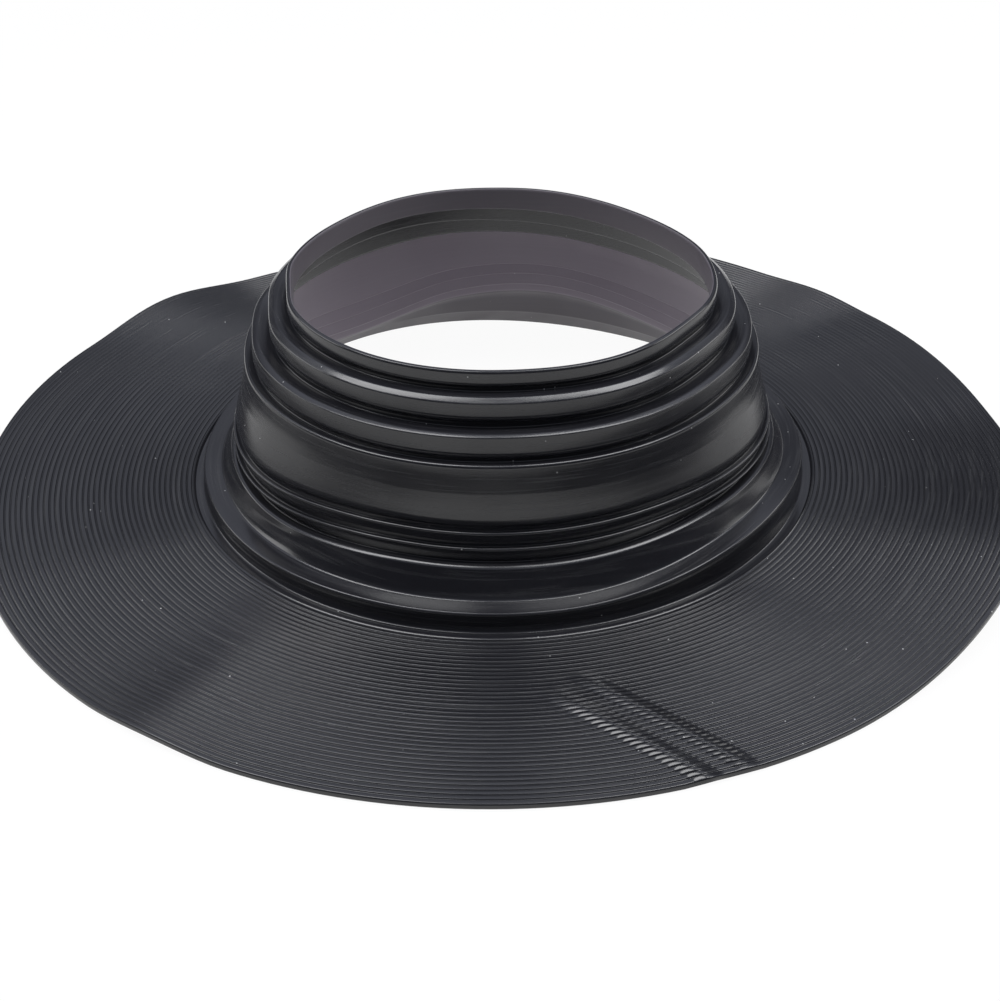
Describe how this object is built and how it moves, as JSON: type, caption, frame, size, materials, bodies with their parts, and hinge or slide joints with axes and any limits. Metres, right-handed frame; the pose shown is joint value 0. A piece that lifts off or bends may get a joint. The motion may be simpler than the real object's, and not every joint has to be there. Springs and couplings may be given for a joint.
{
  "type": "pipe flashing boot",
  "caption": "Moulded rubber pipe flashing: a stepped collar that is cut to the pipe's size, on a round flange with concentric sealing ribs.",
  "frame": {"origin": "on the pipe's axis, in the plane of the flange's underside", "axes": "+Z along the pipe's axis, from the flange up to the rim; +Y away from the side that the picture shows nearest, and +X to its right"},
  "size_m": [0.43, 0.43, 0.086],
  "materials": {
    "rubber": "satin"
  },
  "bodies": {
    "root": {"flashing_boot": "rubber"}
  },
  "joints": []
}
